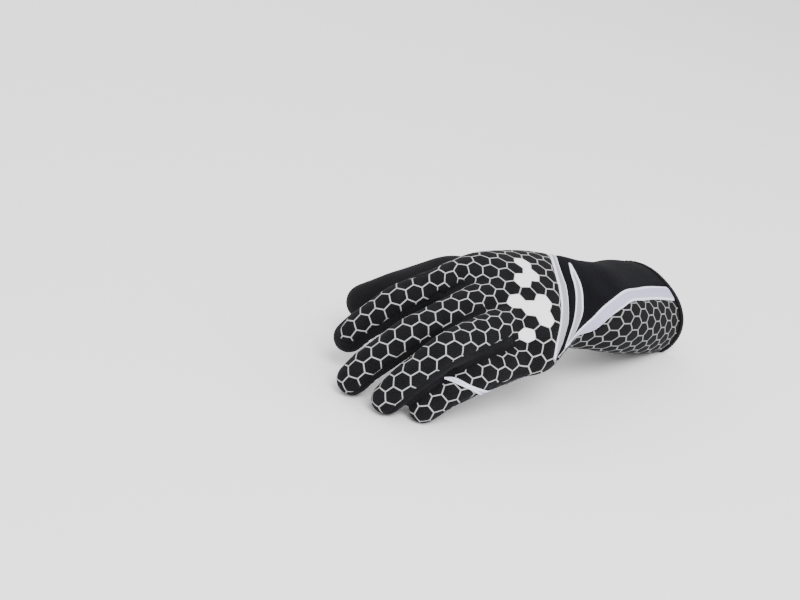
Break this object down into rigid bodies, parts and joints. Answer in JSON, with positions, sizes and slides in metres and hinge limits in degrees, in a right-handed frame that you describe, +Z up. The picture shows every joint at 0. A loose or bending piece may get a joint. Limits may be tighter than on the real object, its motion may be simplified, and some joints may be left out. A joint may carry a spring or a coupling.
{
  "type": "sim racing glove",
  "caption": "Left-hand sim racing glove lying palm down: honeycomb-print back, black palm side with grip patches, long cuff with curved stripes, hollow for a hand.",
  "frame": {"origin": "under the middle of the whole glove's box, on the surface that it lies on", "axes": "+X towards the cuff's open end, +Y towards the thumb side, +Z up"},
  "size_m": [0.2762, 0.131, 0.079],
  "materials": {
    "softshell": "matt charcoal softshell cloth with a light printed honeycomb",
    "black_knit": "matt black stretch cloth",
    "cuff_cloth": "smooth matt black cloth",
    "stripe_tape": "pale lilac-grey woven tape",
    "grip_suede": "heathered mid-grey grip suede",
    "binding": "black rolled binding"
  },
  "bodies": {
    "root": {"hand_back_panel": "softshell", "hand_palm_panel": "black_knit", "thumb_tube": "black_knit", "palm_grip_patch": "grip_suede", "thumb_base_patch": "grip_suede", "thumb_tip_patch": "grip_suede", "little_finger_stripe": "stripe_tape", "wrist_stripe": "stripe_tape", "crescent_stripe": "stripe_tape", "cuff_top_panel": "cuff_cloth", "cuff_side_panel": "softshell", "cuff_back_stripe": "stripe_tape", "cuff_palm_stripe": "stripe_tape", "cuff_hem": "binding"}
  },
  "joints": []
}
